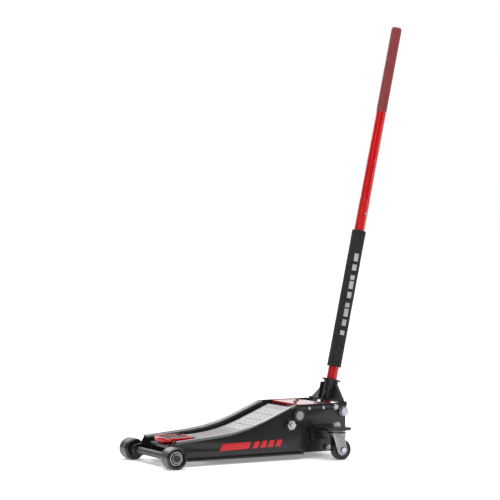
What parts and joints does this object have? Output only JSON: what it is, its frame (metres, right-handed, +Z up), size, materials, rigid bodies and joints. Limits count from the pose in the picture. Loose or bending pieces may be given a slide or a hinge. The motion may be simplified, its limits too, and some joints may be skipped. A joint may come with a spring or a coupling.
{
  "type": "trolley jack",
  "caption": "Low-profile trolley jack in black and red: lift arm with swivelling saddle, hydraulic unit, casters and a tall two-piece handle.",
  "frame": {"origin": "on the floor, half way along the whole length and on the middle plane", "axes": "+X to the saddle end, +Y to the jack's left side, +Z up"},
  "size_m": [0.84, 0.39, 1.2323],
  "materials": {
    "frame_black": "gloss",
    "black_oxide": "satin",
    "gloss_red": "gloss",
    "knurled_red": "satin",
    "zinc": "satin",
    "chrome_plate": "gloss",
    "steel": "satin",
    "cast_black": "rough",
    "black_wheel": "gloss",
    "pad_rubber": "matt",
    "foam": "matt"
  },
  "bodies": {
    "root": {"side_plate_left": "frame_black", "side_plate_right": "frame_black", "front_axle": "black_oxide", "axle_spacers": "black_oxide", "axle_snap_rings": "steel", "main_shaft": "steel", "shaft_collars": "black_oxide", "shaft_spacers": "steel", "link_bolts": "zinc", "link_nuts": "zinc", "upper_tie_rod": "steel", "lower_tie_rod": "black_oxide", "tie_rod_bolts": "zinc", "caster_bracket_left": "frame_black", "caster_bracket_right": "frame_black", "caster_stems": "zinc", "stem_nuts": "zinc", "caster_races": "zinc", "return_spring_left": "steel", "return_spring_right": "steel", "pump_block": "cast_black", "ram_cylinder": "steel", "gland_nut": "zinc", "valve_gland": "zinc", "filler_plug": "zinc", "power_cover": "gloss_red", "cover_side_screws": "zinc", "cover_top_screws": "zinc", "socket_pivot_bolts": "zinc"},
    "lift_arm": {"lift_arm": "frame_black", "arm_screws": "black_oxide", "ram_cross_pin": "steel", "head_pivot_pins": "steel"},
    "link_left": {"radius_link_left": "steel"},
    "link_right": {"radius_link_right": "steel"},
    "saddle_head": {"saddle_head": "gloss_red", "link_pin": "steel"},
    "saddle": {"saddle": "gloss_red", "saddle_pad": "pad_rubber", "saddle_clip": "steel"},
    "ram": {"ram": "steel"},
    "plunger": {"pump_plunger": "steel"},
    "handle_socket": {"handle_socket": "frame_black", "roller_pin": "steel"},
    "handle": {"handle_lower_tube": "gloss_red", "foam_sleeve": "foam", "handle_upper_tube": "knurled_red"},
    "valve": {"release_valve": "zinc"},
    "roller": {"pump_roller": "steel"},
    "button": {"snap_button": "chrome_plate"},
    "front_wheel_left": {"front_wheel_left": "black_wheel", "wheel_bearing_left": "chrome_plate"},
    "front_wheel_right": {"front_wheel_right": "black_wheel", "wheel_bearing_right": "chrome_plate"},
    "caster_left": {"caster_fork_left": "chrome_plate", "caster_axle_left": "chrome_plate"},
    "caster_right": {"caster_fork_right": "chrome_plate", "caster_axle_right": "chrome_plate"},
    "caster_wheel_left": {"caster_wheel_left": "black_wheel"},
    "caster_wheel_right": {"caster_wheel_right": "black_wheel"}
  },
  "joints": [
    {"name": "arm_lift", "type": "hinge", "parent": "root", "child": "lift_arm", "pos_m": [-0.01902, 0, 0.122], "axis": [0, -1, 0], "range_deg": [0, 68], "deforming": ["return_spring_left", "return_spring_right"]},
    {"name": "link_lift_left", "type": "hinge", "parent": "root", "child": "link_left", "pos_m": [0.00938, 0.08, 0.0968], "axis": [0, -1, 0], "range_deg": [0, 68]},
    {"name": "link_lift_right", "type": "hinge", "parent": "root", "child": "link_right", "pos_m": [0.00938, -0.08, 0.0968], "axis": [0, -1, 0], "range_deg": [0, 68]},
    {"name": "head_level", "type": "hinge", "parent": "lift_arm", "child": "saddle_head", "pos_m": [0.32158, 0, 0.0492], "axis": [0, -1, 0], "range_deg": [-68, 0]},
    {"name": "saddle_swivel", "type": "hinge", "parent": "saddle_head", "child": "saddle", "pos_m": [0.32598, 0, 0.06], "axis": [0, 0, 1], "continuous": true},
    {"name": "ram_slide", "type": "slide", "parent": "root", "child": "ram", "axis": [1, 0, 0], "range_m": [0, 0.05042]},
    {"name": "handle_pivot", "type": "hinge", "parent": "root", "child": "handle_socket", "pos_m": [-0.16502, 0, 0.127], "axis": [0, -1, 0], "range_deg": [-12.3, 61.7]},
    {"name": "plunger_slide", "type": "slide", "parent": "root", "child": "plunger", "axis": [1, 0, 0], "range_m": [-0.00373, 0.0183]},
    {"name": "handle_twist", "type": "hinge", "parent": "handle_socket", "child": "handle", "pos_m": [-0.16502, 0, 0.127], "axis": [-0.213, 0, 0.977], "range_deg": [0, 90]},
    {"name": "release_spin", "type": "hinge", "parent": "root", "child": "valve", "pos_m": [-0.16502, 0, 0.127], "axis": [-0.6018, 0, 0.7986], "range_deg": [0, 90]},
    {"name": "roller_spin", "type": "hinge", "parent": "handle_socket", "child": "roller", "pos_m": [-0.17255, -0.028, 0.11065], "axis": [0, 1, 0], "continuous": true},
    {"name": "snap_button", "type": "slide", "parent": "handle", "child": "button", "axis": [0, -1, 0], "range_m": [0, 0.003], "stiffness_N_per_m": 500, "springref_m": -0.001},
    {"name": "wheel_spin_front_left", "type": "hinge", "parent": "root", "child": "front_wheel_left", "pos_m": [0.38998, 0.13, 0.03], "axis": [0, 1, 0], "continuous": true},
    {"name": "wheel_spin_front_right", "type": "hinge", "parent": "root", "child": "front_wheel_right", "pos_m": [0.38998, -0.13, 0.03], "axis": [0, 1, 0], "continuous": true},
    {"name": "caster_swivel_left", "type": "hinge", "parent": "root", "child": "caster_left", "pos_m": [-0.10402, 0.16, 0.08], "axis": [0, 0, 1], "continuous": true},
    {"name": "caster_swivel_right", "type": "hinge", "parent": "root", "child": "caster_right", "pos_m": [-0.10402, -0.16, 0.08], "axis": [0, 0, 1], "continuous": true},
    {"name": "wheel_spin_caster_left", "type": "hinge", "parent": "caster_left", "child": "caster_wheel_left", "pos_m": [-0.11602, 0.16, 0.0285], "axis": [0, 1, 0], "continuous": true},
    {"name": "wheel_spin_caster_right", "type": "hinge", "parent": "caster_right", "child": "caster_wheel_right", "pos_m": [-0.11602, -0.16, 0.0285], "axis": [0, 1, 0], "continuous": true}
  ],
  "couplings": [
    {"joint": "link_lift_left", "follows": "arm_lift", "ratio": 1},
    {"joint": "link_lift_right", "follows": "arm_lift", "ratio": 1},
    {"joint": "head_level", "follows": "arm_lift", "ratio": -1},
    {"joint": "ram_slide", "follows": "arm_lift", "m_per_rad": 0.0424},
    {"joint": "plunger_slide", "follows": "handle_pivot", "m_per_rad": 0.0169},
    {"joint": "release_spin", "follows": "handle_twist", "ratio": 1}
  ]
}
